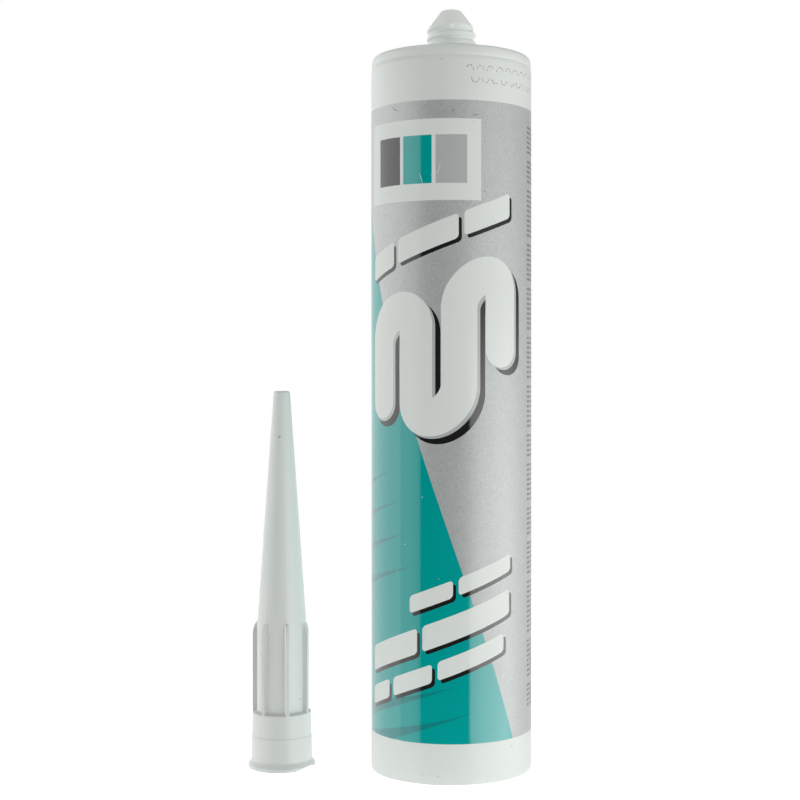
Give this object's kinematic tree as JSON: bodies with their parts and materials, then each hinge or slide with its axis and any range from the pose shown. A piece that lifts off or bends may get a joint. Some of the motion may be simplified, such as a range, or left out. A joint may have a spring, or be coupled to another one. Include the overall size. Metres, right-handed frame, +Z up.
{
  "type": "caulk tube",
  "caption": "Upright sealant cartridge, a printed plastic barrel with a threaded nipple and a sliding rear piston, with its ribbed cone nozzle standing beside it",
  "frame": {"origin": "centre of the barrel's rear rim, on the floor that the barrel and the nozzle stand on", "axes": "+Z up along the barrel to the nipple, +X to the right in the picture, so the nozzle is at -X, and -Y towards the camera"},
  "size_m": [0.0884, 0.05, 0.2357],
  "materials": {
    "barrel_plastic": "semi-gloss white polyethylene, printed with a silver and teal field",
    "piston_plastic": "white polyethylene",
    "sealant_paste": "smooth uncured paste",
    "nozzle_plastic": "translucent white polyethylene"
  },
  "bodies": {
    "cartridge": {"barrel": "barrel_plastic", "sealant": "sealant_paste", "nozzle": "nozzle_plastic"},
    "piston": {"piston": "piston_plastic"}
  },
  "joints": [
    {"name": "piston_slide", "type": "slide", "parent": "cartridge", "child": "piston", "axis": [0, 0, 1], "range_m": [0, 0.185], "deforming": ["sealant"]}
  ]
}
